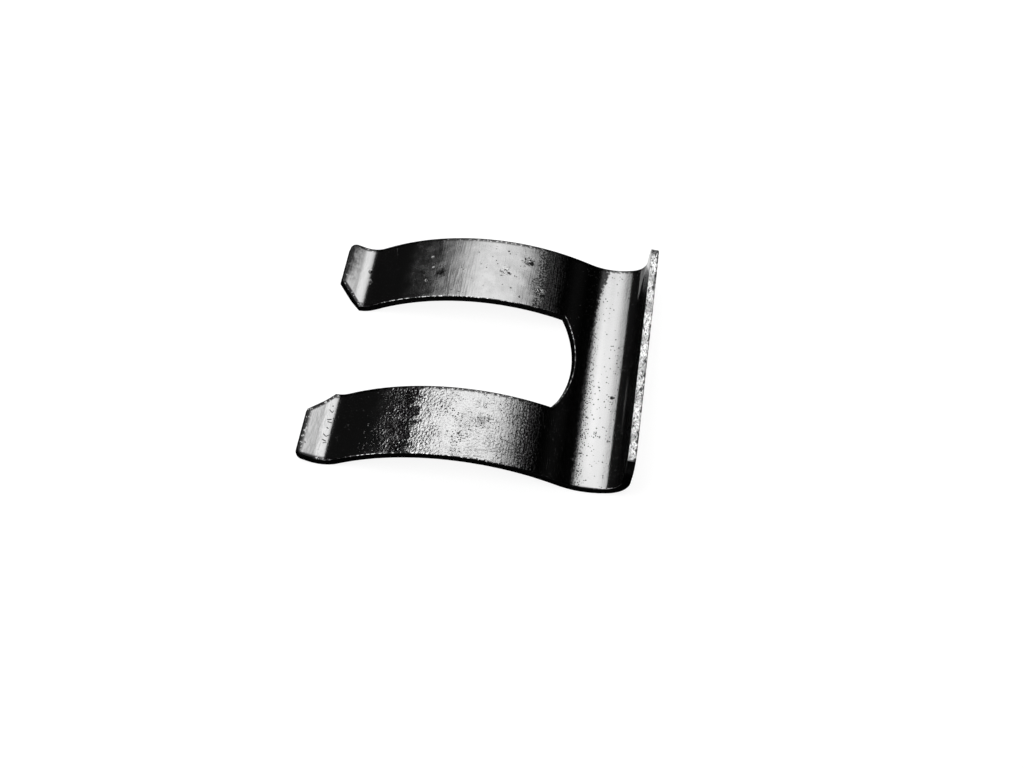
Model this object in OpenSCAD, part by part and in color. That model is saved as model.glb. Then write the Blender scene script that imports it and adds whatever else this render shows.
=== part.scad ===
// Spring retaining clip, stamped from one strip of spring steel and bent in a press.
//
// Two bowed legs straddle the groove of a hose or pipe fitting, and the bow of the
// legs pulls the fitting tight against its bracket. The toes are turned up to lead
// the clip on, and the upright flange at the other end is struck to drive it home
// or gripped to pull it off.
//
// The clip lies on the XY plane with its crowned side up. The toes point along -X,
// the flange stands at +X, and Y runs across both legs. The origin is at the middle
// of the footprint, on the surface that the clip lies on.

/* [Strip] */
// Thickness of the steel
sheet_t = 0.9; // [0.5:0.05:1.4]
// Width of the blank, across both legs
blank_w = 30; // [24:0.5:40]

/* [Slot] */
// Width between the legs
slot_w = 12.4; // [9:0.1:15]
// Depth of the slot, measured along the sheet from the toes to the middle of its end
slot_depth = 30.05; // [20:0.05:32]
// Radius of the curved end of the slot
slot_end_r = 10.8; // [8:0.1:20]

/* [Toes] */
// Angle by which the toes are turned up
toe_angle = 25; // [10:1:45]
// Straight length of a toe, from its bend to its tip
toe_l = 1.65; // [1:0.05:4]
// Inside radius of the bend at the toes
toe_bend_r = 2.7; // [1:0.1:6]
// Length of the slanted lead-in, along the leg
lead_in_l = 2.8; // [1:0.1:5]
// Width that the lead-in takes off each toe
lead_in_w = 2.9; // [0.5:0.1:4]
// Radius on the outer corners of the toes
toe_corner_r = 0.9; // [0.2:0.1:3]

/* [Legs] */
// Radius of the underside of the bow
bow_r = 24.8; // [18:0.1:40]
// Clear height under the bow
bow_rise = 3.8; // [2:0.1:5]
// Straight length between the bow and the bend at the toes
toe_flank_l = 1; // [0.5:0.1:4]
// Straight length between the bow and the trough
trough_flank_l = 1; // [0.5:0.1:4]

/* [Bridge] */
// Inside radius of the trough across the bridge
trough_r = 6.5; // [3:0.1:12]
// Slope at which the trough passes into the bend of the flange
trough_exit_angle = 13; // [5:1:30]
// Straight length between the trough and the bend of the flange
flange_foot_l = 0.4; // [0.4:0.05:2]
// Inside radius of the bend of the flange
flange_bend_r = 2.2; // [1:0.1:4]

/* [Flange] */
// Angle between the flange and the surface that the clip lies on
flange_angle = 83; // [70:1:90]
// Height of the flange over that surface
flange_h = 6.5; // [5.5:0.1:14]
// Radius on the top corners of the flange
flange_corner_r = 1.8; // [0.2:0.1:2.5]

/* [Hidden] */
$fn = 180;

half_t = sheet_t / 2;
half_w = blank_w / 2;
half_slot = slot_w / 2;
slot_end_rise = slot_end_r - sqrt(slot_end_r ^ 2 - half_slot ^ 2);
slot_side_l = slot_depth - slot_end_rise;
bow_top_z = bow_rise + sheet_t;
// A cutter reaches this far past the metal that it takes away.
overcut = 1;
// The circle of a bend or a corner is this much too large, and a bend is turned this
// much too far, so that it crosses the straight lines beside it and leaves no step.
bite = 0.0005;
bend_lap = 2;

// Slope at the foot of the bow on one side, for bends whose mid-lines have the radii
// bow_r + half_t and bend_r + half_t, joined by a straight flank. It is the slope at
// which the flank ends on the lying surface, so that both feet of the clip touch it.
function foot_slope(bend_r, flank_l) =
    let (r = bow_r + bend_r + sheet_t)
    acos((r - bow_rise) / norm([r, flank_l])) - atan(flank_l / r);
toe_slope = foot_slope(toe_bend_r, toe_flank_l);
trough_slope = foot_slope(trough_r, trough_flank_l);

// Height that the mid-line has gained where the bend of the flange ends.
flange_bend_rise = (trough_r + half_t) * (1 - cos(trough_exit_angle))
    + flange_foot_l * sin(trough_exit_angle)
    + (flange_bend_r + half_t) * (cos(trough_exit_angle) - cos(flange_angle));
// Straight length of the flange, from its bend to its top edge.
flange_l = (flange_h - half_t * (1 + cos(flange_angle)) - flange_bend_rise) / sin(flange_angle);

// The strip from the toe tips to the top of the flange, as the runs of its mid-line.
// A run is [0, length] where it is straight and [radius, turn] where it is bent, and
// a positive turn bends upwards.
RUNS = [
    [0, toe_l],
    [toe_bend_r + half_t, toe_angle + toe_slope],
    [0, toe_flank_l],
    [bow_r + half_t, -toe_slope - trough_slope],
    [0, trough_flank_l],
    [trough_r + half_t, trough_slope + trough_exit_angle],
    [0, flange_foot_l],
    [flange_bend_r + half_t, flange_angle - trough_exit_angle],
    [0, flange_l]
];

// Length of a run along the mid-line.
function run_l(run) = run[0] == 0 ? run[1] : run[0] * abs(run[1]) * PI / 180;
// Length of the sheet up to the start of run i.
function sheet_l(i) = i == 0 ? 0 : sheet_l(i - 1) + run_l(RUNS[i - 1]);
// The first stretch of a run, of the given length.
function run_part(run, length) = [run[0], run[1] * length / run_l(run)];
// Slope of the mid-line where run i starts.
function slope(i) = i == 0 ? -toe_angle : slope(i - 1) + (RUNS[i - 1][0] == 0 ? 0 : RUNS[i - 1][1]);
// Step [x, z] from the start to the end of a run that starts at the given slope.
function run_step(run, a) = run[0] == 0
    ? run[1] * [cos(a), sin(a)]
    : sign(run[1]) * run[0] * [sin(a + run[1]) - sin(a), cos(a) - cos(a + run[1])];
// Point [x, z] where run i starts, seen from the toe tip.
function walk(i) = i == 0 ? [0, 0] : walk(i - 1) + run_step(RUNS[i - 1], slope(i - 1));
// The run that holds the point at a distance along the sheet from the toe tips, and
// how far into that run the point is.
function find_run(distance, i = 0) = i == len(RUNS) - 1 || distance <= run_l(RUNS[i])
    ? [i, distance]
    : find_run(distance - run_l(RUNS[i]), i + 1);

// Footprint along X, from the lower edge of the toe tips to the back of the flange,
// which is the back of its top edge or of its bend.
toe_reach = half_t * sin(toe_angle);
flange_reach = walk(len(RUNS))[0] + half_t * sin(flange_angle);
overall_l = toe_reach + flange_reach;
TOE_TIP = [
    toe_reach - overall_l / 2,
    half_t + toe_l * sin(toe_angle) + (toe_bend_r + half_t) * (1 - cos(toe_angle))
];

// Direction [x, z] square to the sheet, out of its upper surface, where run i starts.
function square_to(i) = [-sin(slope(i)), cos(slope(i))];
// Point [x, z] of the upper surface (side 1) or the lower one (side -1) where run i
// starts, moved by ahead along the sheet.
function surface_point(i, side, ahead = 0) =
    TOE_TIP + walk(i) + side * half_t * square_to(i) + ahead * [cos(slope(i)), sin(slope(i))];

// Disc sector that rounds one surface along bent run i, about a point over the sheet
// where the run bends upwards and under it where the run bends downwards.
module bend_sector(i, side) {
    radius = RUNS[i][0];
    turn = RUNS[i][1];
    bend_side = sign(turn);
    disc_r = radius - bend_side * side * half_t + bite;
    wedge_r = 2 * disc_r;
    lap = bend_side * bend_lap;
    start_edge = bend_side * wedge_r * [-sin(lap), -cos(lap)];
    end_edge = bend_side * wedge_r * [sin(turn + lap), -cos(turn + lap)];
    translate(TOE_TIP + walk(i))
        rotate(slope(i))
            translate([0, bend_side * radius])
                intersection() {
                    circle(r = disc_r);
                    polygon(turn > 0 ? [[0, 0], start_edge, end_edge] : [[0, 0], end_edge, start_edge]);
                }
}

// Everything that lies under the upper surface (side 1) or the lower one (side -1),
// down to a depth. It ends square to the sheet, spare past the ends of the strip.
module under(side, depth, spare) {
    last = len(RUNS);
    difference() {
        union() {
            polygon([
                surface_point(0, side, -spare) - depth * square_to(0),
                surface_point(last, side, spare) - depth * square_to(last),
                surface_point(last, side, spare),
                for (i = [last - 1 : -1 : 1]) surface_point(i, side),
                surface_point(0, side, -spare)
            ]);
            for (i = [0 : last - 1])
                if (RUNS[i][0] > 0 && RUNS[i][1] < 0)
                    bend_sector(i, side);
        }
        for (i = [0 : last - 1])
            if (RUNS[i][0] > 0 && RUNS[i][1] > 0)
                bend_sector(i, side);
    }
}

// Section of the whole strip, between its two surfaces.
module strip_section() {
    difference() {
        under(1, overall_l, 0);
        under(-1, 2 * overall_l, overcut);
    }
}

// Puts its children on the mid-line at a distance along the sheet from the toe tips,
// with X along the sheet towards the flange and Z square to the sheet.
module on_sheet(distance) {
    found = find_run(distance);
    i = found[0];
    part = run_part(RUNS[i], found[1]);
    point = TOE_TIP + walk(i) + run_step(part, slope(i));
    turned = RUNS[i][0] == 0 ? 0 : part[1];
    translate([point[0], 0, point[1]])
        rotate([0, -slope(i) - turned, 0])
            children();
}

// The slot, cut square to the sheet at its curved end. Its outline is the slot's width
// of a disc for the end, with everything towards the toes from the disc's middle.
module slot_cut() {
    disc_x = slot_end_rise - slot_end_r;
    reach = slot_depth + overcut;
    on_sheet(slot_side_l)
        translate([0, 0, -slot_depth])
            linear_extrude(height = slot_depth + bow_top_z)
                intersection() {
                    translate([-reach, -half_slot])
                        square([reach + slot_end_r, slot_w]);
                    union() {
                        translate([-reach, -half_slot - overcut])
                            square([reach + disc_x, slot_w + 2 * overcut]);
                        translate([disc_x, 0])
                            circle(r = slot_end_r);
                    }
                }
}

// The funnel at the mouth of the slot, which slants the inner corners of the toes.
module lead_in_cut() {
    widening = lead_in_w / lead_in_l;
    mouth = half_slot + lead_in_w + widening * overcut;
    throat = half_slot - widening * overcut;
    on_sheet(0)
        translate([0, 0, -sheet_t])
            linear_extrude(height = 2 * sheet_t)
                polygon([
                    [-overcut, -mouth],
                    [lead_in_l + overcut, -throat],
                    [lead_in_l + overcut, throat],
                    [-overcut, mouth]
                ]);
}

// What rounding takes off the two outer corners of the strip's end at the origin.
module corner_cut(radius) {
    for (side = [0, 1])
        mirror([0, side, 0])
            translate([0, half_w - radius, -sheet_t])
                linear_extrude(height = 2 * sheet_t)
                    difference() {
                        translate([-overcut, 0])
                            square([radius + overcut, radius + overcut]);
                        translate([radius, 0])
                            circle(r = radius + bite);
                    }
}

// The whole clip.
module clip() {
    color("dimgray")
        difference() {
            rotate([90, 0, 0])
                linear_extrude(height = blank_w, center = true)
                    strip_section();
            slot_cut();
            lead_in_cut();
            on_sheet(0)
                corner_cut(toe_corner_r);
            on_sheet(sheet_l(len(RUNS)))
                rotate([0, 180, 0])
                    corner_cut(flange_corner_r);
        }
}

clip();
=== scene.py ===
"""Dresses a spring retaining clip, pressed from one strip of spring steel.

The blank of the clip is drawn flat, with its sheared edges, and a Geometry Nodes
press then bends it along the same runs as the solid. Blender works in metres here,
and the sizes of the blank and the bends are written in millimetres.
"""

from __future__ import annotations

import logging
import math
from collections.abc import Iterable
from dataclasses import dataclass, field
from enum import Enum
from functools import partial, reduce

import bpy
import numpy as np
from mathutils import Matrix, Vector

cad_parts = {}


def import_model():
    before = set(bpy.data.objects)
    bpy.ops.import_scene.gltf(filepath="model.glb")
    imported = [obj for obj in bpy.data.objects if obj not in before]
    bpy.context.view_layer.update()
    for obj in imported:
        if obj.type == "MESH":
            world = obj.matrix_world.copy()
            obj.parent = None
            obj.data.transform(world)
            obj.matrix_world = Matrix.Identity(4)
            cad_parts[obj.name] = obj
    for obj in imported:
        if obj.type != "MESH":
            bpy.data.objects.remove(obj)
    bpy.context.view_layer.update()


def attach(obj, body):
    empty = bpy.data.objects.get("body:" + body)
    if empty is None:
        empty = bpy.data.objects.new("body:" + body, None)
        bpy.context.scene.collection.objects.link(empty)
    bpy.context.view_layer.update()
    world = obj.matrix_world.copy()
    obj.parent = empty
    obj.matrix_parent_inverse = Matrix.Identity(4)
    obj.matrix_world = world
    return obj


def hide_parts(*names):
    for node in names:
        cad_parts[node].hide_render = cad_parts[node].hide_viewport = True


log = logging.getLogger("clip")

MM = 0.001
IMAGE_WIDTH = 1024
SENSOR_WIDTH = 36.0

# Attributes of the mesh
STATION = "station"
BLANK = "blank"
CUT_FACE = "cut_face"
CUT_SHARE = "cut_share"
RIM = "rim"

# Height of the upper skin off the middle of the thickness, in mm
UPPER_SKIN = 0.45

Node = bpy.types.Node
Socket = bpy.types.NodeSocket
Tree = bpy.types.NodeTree


class Leg(Enum):
    """The two legs of the clip, by the side of the middle that each lies on."""

    FRONT = -1
    BACK = 1


@dataclass(frozen=True)
class Bend:
    """One bend of the press, on the mid-line of the strip.

    Attributes:
        name: What a press operator calls it.
        start: Distance along the strip from the toe tips, in mm.
        radius: Mid-line radius in mm, positive where the strip bends upwards.
        turn: Angle of the bend in degrees, with the sign of the radius.
    """

    name: str
    start: float
    radius: float
    turn: float


@dataclass(frozen=True)
class Chip:
    """A spot where the skin is chipped or bruised.

    Attributes:
        station: Distance along the strip from the toe tips, in mm.
        across: Place across the strip, in mm.
        reach: Radius of the spot, in mm.
        height: How far the bruised metal rises and falls, in mm.
        stain: How much of the tone it takes away; below 0 it lightens the tone, a painted
            highlight on the bruise.
    """

    station: float
    across: float
    reach: float
    height: float
    stain: float


# Bruises whose stain is below 0 carry a painted highlight, lightened into the tone.
BRUISES = (
    Chip(22.95, 12.60, 0.75, 0.060, -0.45),
    Chip(23.35, 12.35, 0.42, 0.050, 0.95),
    Chip(20.45, 10.65, 0.85, 0.040, -0.20),
    Chip(20.90, 10.35, 0.20, 0.030, 0.80),
    Chip(24.85, 8.60, 0.62, 0.030, -2.60),
    Chip(25.25, 8.15, 0.30, 0.040, 0.60),
    Chip(21.05, -9.95, 0.80, 0.030, 0.20),
    Chip(13.10, 9.80, 0.90, 0.010, 0.78),
    Chip(21.45, 8.25, 0.20, 0.020, 0.95),
    Chip(22.55, 7.20, 0.20, 0.020, 0.95),
    Chip(35.15, -3.25, 0.34, 0.030, 0.98),
    Chip(11.70, 12.15, 0.24, 0.060, 0.00),
    Chip(12.10, 10.60, 0.22, 0.060, 0.00),
    Chip(11.60, 8.70, 0.30, 0.040, 0.00),
    Chip(3.15, 11.45, 0.34, 0.050, 0.40),
    Chip(3.60, 9.90, 0.45, 0.050, 0.40),
)


@dataclass
class Blank:
    """Flat outline of the clip in mm, with the toes at station 0 and the flange at its end.

    Every method takes an inset, which moves the outline into the metal by that much. The
    rows and columns count the grid's faces or lines in each part of the outline.
    """

    length: float = 42.4554
    half_width: float = 15.0
    half_slot: float = 6.2
    slot_depth: float = 30.05
    slot_end_radius: float = 10.8
    mouth_length: float = 2.8
    mouth_width: float = 2.9
    toe_corner: float = 0.9
    flange_corner: float = 1.8
    bridge_line: float = 31.0
    flange_bend_start: float = 35.724
    flange_bend_end: float = 38.961
    rows_per_leg: int = 44
    rows_between: int = 62
    toe_corner_columns: int = 7
    mouth_columns: int = 11
    side_columns: int = 127
    slot_end_columns: int = 14
    bend_columns: int = 25
    flange_columns: int = 10

    def mouth_end(self, inset: float) -> float:
        """Station where the slanted mouth of the slot meets the slot's side.

        Args:
            inset: How far the outline is moved into the metal.

        Returns:
            The station.
        """
        slant = math.hypot(self.mouth_length, self.mouth_width)
        lost = slant * inset - self.mouth_length * inset
        return self.mouth_length + lost / self.mouth_width

    def slot_side(self, inset: float) -> float:
        """Distance of the slot's side from the middle of the strip."""
        return self.half_slot + inset

    def slot_end(self, across: np.ndarray | float, inset: float) -> np.ndarray:
        """Station of the curved end of the slot.

        Args:
            across: Place or places across the strip.
            inset: How far the outline is moved into the metal.

        Returns:
            The station at each of the places.
        """
        middle = self.slot_depth - self.slot_end_radius
        radius = self.slot_end_radius + inset
        return middle + np.sqrt(radius**2 - np.square(across))

    def leg_columns(self, inset: float) -> tuple[np.ndarray, np.ndarray, np.ndarray]:
        """Columns of a leg's grid.

        Args:
            inset: How far the outline is moved into the metal.

        Returns:
            The station, the inner side and the outer side of each column.
        """
        corner = self.toe_corner - inset
        turn = np.linspace(0.0, math.pi / 2, self.toe_corner_columns)
        mouth = np.linspace(self.toe_corner, self.mouth_end(inset), self.mouth_columns)[1:]
        end = float(self.slot_end(self.slot_side(inset), inset))
        side = np.linspace(self.mouth_end(inset), end, self.side_columns)[1:]
        station = np.concatenate([self.toe_corner - corner * np.cos(turn), mouth, side])
        outer = np.full_like(station, self.half_width - inset)
        outer[: len(turn)] = self.half_width - self.toe_corner + corner * np.sin(turn)
        slant = math.hypot(self.mouth_length, self.mouth_width)
        mouth_side = (
            self.half_slot
            + self.mouth_width
            + (slant * inset - self.mouth_width * station) / self.mouth_length
        )
        inner = np.maximum(mouth_side, self.slot_side(inset))
        return station, inner, outer

    def leg_grid(self, leg: Leg, inset: float) -> np.ndarray:
        """Grid of one leg.

        Args:
            leg: Which of the two legs.
            inset: How far the outline is moved into the metal.

        Returns:
            Points as an array of rows, columns and (station, across).
        """
        station, inner, outer = self.leg_columns(inset)
        share = np.linspace(0.0, 1.0, self.rows_per_leg + 1)[:, None]
        across = inner[None, :] + share * (outer - inner)[None, :]
        grid = np.stack([np.broadcast_to(station, across.shape), leg.value * across], -1)
        return grid if leg is Leg.BACK else grid[::-1]

    def bridge_grid(self, inset: float) -> np.ndarray:
        """Grid of everything past the slot, up to the top edge of the flange.

        Args:
            inset: How far the outline is moved into the metal.

        Returns:
            Points as an array of rows, columns and (station, across).
        """
        slot = self.slot_side(inset)
        share = np.linspace(0.0, 1.0, self.rows_per_leg + 1)
        between = np.linspace(-slot, slot, self.rows_between + 1)[1:-1]
        side = slot + share * (self.half_width - inset - slot)
        rows = np.concatenate([-side[::-1], between, side])
        held = np.clip(rows, -slot, slot)
        first = self.slot_end(held, inset)
        corner_line = self.length - self.flange_corner
        corner = self.flange_corner - inset
        turn = np.linspace(0.0, math.pi / 2, self.flange_columns)[1:]
        blend = np.linspace(0.0, 1.0, self.slot_end_columns)[None, :]
        near = first[:, None] * (1 - blend) + self.bridge_line * blend
        runs = (
            (self.bridge_line, self.flange_bend_start, self.bend_columns),
            (self.flange_bend_start, self.flange_bend_end, self.bend_columns),
            (self.flange_bend_end, corner_line, self.flange_columns),
        )
        far = [np.linspace(*run)[1:] for run in runs]
        far = np.concatenate([*far, corner_line + corner * np.sin(turn)])
        station = np.concatenate([near, np.broadcast_to(far, (len(rows), len(far)))], 1)
        outer = np.full(station.shape[1], self.half_width - inset)
        outer[-len(turn) :] = self.half_width - self.flange_corner + corner * np.cos(turn)
        full = self.half_width - inset - slot
        past = np.maximum(np.abs(rows) - slot, 0.0) / full
        drawn_in = (outer - (self.half_width - inset))[None, :] * past[:, None]
        across = rows[:, None] + np.sign(rows)[:, None] * drawn_in
        return np.stack([station, across], -1)

    def grids(self, inset: float) -> tuple[np.ndarray, np.ndarray, np.ndarray]:
        """Grids of the front leg, the bridge and the back leg."""
        front, back = self.leg_grid(Leg.FRONT, inset), self.leg_grid(Leg.BACK, inset)
        return front, self.bridge_grid(inset), back

    def points(self, inset: float) -> np.ndarray:
        """Points of the three grids one after another, in the same order for every inset."""
        return np.concatenate([grid.reshape(-1, 2) for grid in self.grids(inset)])

    def quads(self) -> np.ndarray:
        """Faces of the three grids, counter-clockwise seen from above.

        Returns:
            The numbers of the four corners of each face.
        """
        faces = []
        first = 0
        for grid in self.grids(0.0):
            rows, columns = grid.shape[:2]
            at = first + np.arange(rows * columns).reshape(rows, columns)
            corners = (at[:-1, :-1], at[:-1, 1:], at[1:, 1:], at[1:, :-1])
            faces.append(np.stack([corner.ravel() for corner in corners], -1))
            first += rows * columns
        return np.concatenate(faces)


@dataclass
class ShearedEdge:
    """Section of the edge that the punch leaves, from the upper skin to the lower one.

    Attributes:
        half_thickness: Half the thickness of the strip, in mm.
        rolled_width: How far in the punch rolls the upper edge over, in mm.
        rolled_depth: How far down it rolls it, in mm.
        burr_radius: Radius that is left on the lower edge, in mm.
        rolled_turns: Angles of the rings on the rolled-over edge, in degrees.
        wall_heights: Heights of the rings on the sheared wall, in mm.
        burr_turns: Angles of the rings on the lower edge, in degrees.
        cut_from: First band of faces, counted from the upper skin, that is sheared.
        torn_from: First ring, counted in the same way, that the tearing moves.
    """

    half_thickness: float = UPPER_SKIN
    rolled_width: float = 0.17
    rolled_depth: float = 0.11
    burr_radius: float = 0.05
    rolled_turns: tuple[float, ...] = (22.5, 45.0, 67.5, 90.0)
    wall_heights: tuple[float, ...] = (0.19, 0.05, -0.1, -0.25)
    burr_turns: tuple[float, ...] = (90.0, 45.0)
    cut_from: int = 2
    torn_from: int = 3

    def rings(self) -> list[tuple[float, float]]:
        """Inset and height of each ring between the two skins.

        Returns:
            Pairs of an inset and a height, in mm, from the top down.
        """
        wide, deep = self.rolled_width, self.rolled_depth
        burr, top = self.burr_radius, self.half_thickness
        rings = []
        for a in map(math.radians, self.rolled_turns):
            rings.append((wide - wide * math.sin(a), top - deep + deep * math.cos(a)))
        rings += [(0.0, height) for height in self.wall_heights]
        for a in map(math.radians, self.burr_turns):
            rings.append((burr - burr * math.sin(a), burr - top - burr * math.cos(a)))
        return rings


@dataclass
class StripMesh:
    """Closed mesh of the flat strip.

    Attributes:
        blank: The outline.
        edge: The section of its edges.
        bruises: Bruised spots, the larger of which are hollows of the upper skin.
        hollow_reach: Radius from which a bruise is a hollow, in mm.
        hollow_share: Depth of a hollow, as a share of its bruise's height.
    """

    blank: Blank = field(default_factory=Blank)
    edge: ShearedEdge = field(default_factory=ShearedEdge)
    bruises: tuple[Chip, ...] = BRUISES
    hollow_reach: float = 0.5
    hollow_share: float = 0.5

    @staticmethod
    def rim(faces: np.ndarray) -> np.ndarray:
        """Loop of the points on the outline.

        Args:
            faces: The grid's quads, counter-clockwise from above.

        Returns:
            Their numbers, in order, with the metal on the left.
        """
        edges = np.concatenate([faces[:, [i, (i + 1) % 4]] for i in range(4)])
        known = {tuple(edge) for edge in edges.tolist()}
        after = {a: b for a, b in known if (b, a) not in known}
        start = min(after)
        loop = [start]
        while after[loop[-1]] != start:
            loop.append(after[loop[-1]])
        return np.array(loop)

    def hollow(self, points: np.ndarray) -> np.ndarray:
        """Depth that the larger bruises take off the upper skin at each point.

        Args:
            points: Places on the blank, in mm.

        Returns:
            The depth at each, in mm.
        """
        depth = np.zeros(len(points))
        for spot in self.bruises:
            if spot.reach < self.hollow_reach:
                continue
            away = np.hypot(points[:, 0] - spot.station, points[:, 1] - spot.across)
            share = np.clip(1.0 - away / spot.reach, 0.0, 1.0)
            smooth = share * share * (3.0 - 2.0 * share)
            depth += self.hollow_share * spot.height * smooth
        return depth

    def build(self, name: str) -> bpy.types.Mesh:
        """Makes the mesh, with the attributes that the press and the finishes read.

        Args:
            name: Name of the mesh.

        Returns:
            The closed mesh, flat, in metres.
        """
        top = self.edge.half_thickness
        loose = self.blank.points(self.edge.rolled_width)
        _, first, number = np.unique(
            np.round(loose, 5), axis=0, return_index=True, return_inverse=True
        )
        faces = number.reshape(-1)[self.blank.quads()]
        loop = self.rim(faces)
        upper = loose[first]
        lower = self.blank.points(self.edge.burr_radius)[first]
        rings = self.edge.rings()
        layers = [np.column_stack([upper, top - self.hollow(upper)])]
        for inset, height in rings:
            ring = self.blank.points(inset)[first][loop]
            layers.append(np.column_stack([ring, np.full(len(ring), height)]))
        layers.append(np.column_stack([lower, np.full(len(lower), -top)]))
        spots = np.concatenate(layers)
        counts = [len(layer) for layer in layers]
        rim = np.repeat([0.0] + [1.0] * len(rings) + [0.0], counts)
        torn = [float(i >= self.edge.torn_from) for i in range(len(rings))]
        share = np.repeat([0.0, *torn, 0.0], counts)
        below = len(upper) + len(rings) * len(loop)
        bands = [loop]
        bands += [len(upper) + i * len(loop) + np.arange(len(loop)) for i in range(len(rings))]
        bands.append(below + loop)
        walls = [
            np.stack([over, under, np.roll(under, -1), np.roll(over, -1)], -1)
            for over, under in zip(bands[:-1], bands[1:])
        ]
        every = np.concatenate([faces, *walls, below + faces[:, ::-1]])
        cut = np.zeros(len(every), dtype=bool)
        cut_first = len(faces) + self.edge.cut_from * len(loop)
        cut[cut_first : len(faces) + len(walls) * len(loop)] = True
        mesh = bpy.data.meshes.new(name)
        mesh.from_pydata((spots * MM).tolist(), [], every.tolist())
        for attribute, kind, values in (
            (STATION, "FLOAT", spots[:, 0] * MM),
            (CUT_SHARE, "FLOAT", share),
            (RIM, "FLOAT", rim),
            (BLANK, "FLOAT_VECTOR", spots.ravel()),
        ):
            key = "vector" if kind == "FLOAT_VECTOR" else "value"
            data = mesh.attributes.new(attribute, kind, "POINT").data
            data.foreach_set(key, values.astype(np.float32))
        mesh.attributes.new(CUT_FACE, "BOOLEAN", "FACE").data.foreach_set("value", cut)
        mesh.polygons.foreach_set("use_smooth", np.ones(len(every), dtype=bool))
        mesh.update()
        return mesh


@dataclass(frozen=True)
class Pattern:
    """A noise pattern on the blank.

    Attributes:
        scale: How many patches there are in a mm, after the stretch.
        detail: How many finer layers it adds.
        rough: How strong the finer layers are.
        seed: Number that tells it from the others.
        stretch: What the place on the blank is multiplied by first, where it is.
    """

    scale: float
    detail: float
    rough: float
    seed: float = 0.0
    stretch: tuple[float, float, float] | None = None


class Grain(Enum):
    """The noise patterns of the press, of the rolled skin and of the sheared faces."""

    RIPPLE = Pattern(0.45, 2.0, 0.5)
    TEAR = Pattern(2.6, 3.0, 0.6)
    SMEAR = Pattern(0.7, 5.0, 0.65, 2.0)
    WAVE = Pattern(0.45, 1.0, 0.5, 11.0)
    PEEL = Pattern(3.6, 1.0, 0.5, 12.0)
    BRUSH = Pattern(1.0, 2.0, 0.6, 13.0, (6.5, 0.35, 1.0))
    RUGGED = Pattern(2.2, 2.0, 0.6, 14.0)
    PEEL_PATCHES = Pattern(0.5, 2.0, 0.5, 15.0)
    CHIPPED = Pattern(1.9, 3.0, 0.65, 16.0)
    EDGE_SHADE_RAGS = Pattern(2.8, 2.0, 0.6, 17.0)
    OIL = Pattern(1.1, 3.0, 0.65, 18.0)
    WIPED = Pattern(1.0, 2.0, 0.6, 19.0, (5.0, 0.9, 1.0))
    PIT_PATCHES = Pattern(0.4, 2.0, 0.5, 23.0)
    WANDER = Pattern(0.9, 3.0, 0.6, 31.0)
    SALT = Pattern(5.6, 2.0, 0.6, 32.0)
    SHORE = Pattern(2.2, 3.0, 0.7, 33.0)
    FILM = Pattern(1.0, 4.0, 0.6, 34.0, (0.5, 0.22, 1.0))
    SWEPT = Pattern(0.8, 4.0, 0.65, 35.0)
    DRAWN = Pattern(1.0, 3.0, 0.6, 36.0, (4.2, 0.30, 1.0))
    FLAKED = Pattern(4.2, 2.0, 0.6, 37.0)
    TORN = Pattern(3.2, 4.0, 0.75, 5.0, (1.0, 1.0, 1.6))
    FLECKS = Pattern(3.4, 2.0, 0.6, 6.0, (1.0, 0.5, 1.4))
    BARE_PATCHES = Pattern(0.5, 2.0, 0.5, 7.0)


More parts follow.
